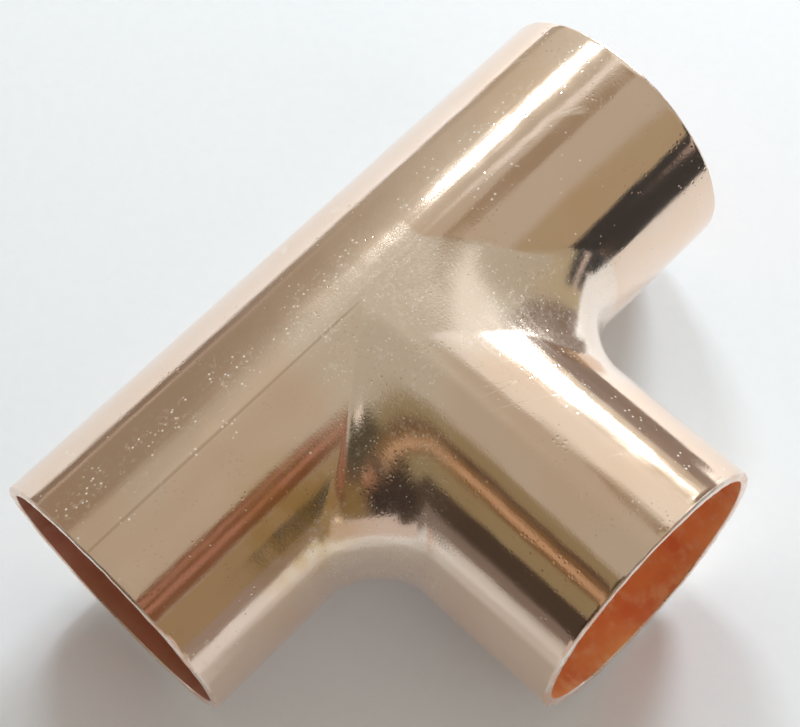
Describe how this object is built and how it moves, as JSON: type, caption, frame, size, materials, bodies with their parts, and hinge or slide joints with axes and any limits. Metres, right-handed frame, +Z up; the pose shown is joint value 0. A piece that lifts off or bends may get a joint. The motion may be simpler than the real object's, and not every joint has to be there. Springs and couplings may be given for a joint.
{
  "type": "tee fitting",
  "caption": "Polished copper equal tee with a straight run, one branch at right angles and plain solder sockets with inner tube stops, made as one solid piece.",
  "frame": {"origin": "bottom centre of the bounding box, on the surface that the tee lies on; the run's axis and the branch's axis cross at x 0, y 11.75 mm, z 15.4 mm", "axes": "+X along the run, to its right end; -Y along the branch, to its mouth; +Z up, square to the plane that holds both axes"},
  "size_m": [0.0762, 0.0542, 0.0308],
  "materials": {
    "polished_copper": "polished copper with fine draw lines and light handling marks"
  },
  "bodies": {
    "root": {"tee_body": "polished_copper"}
  },
  "joints": []
}
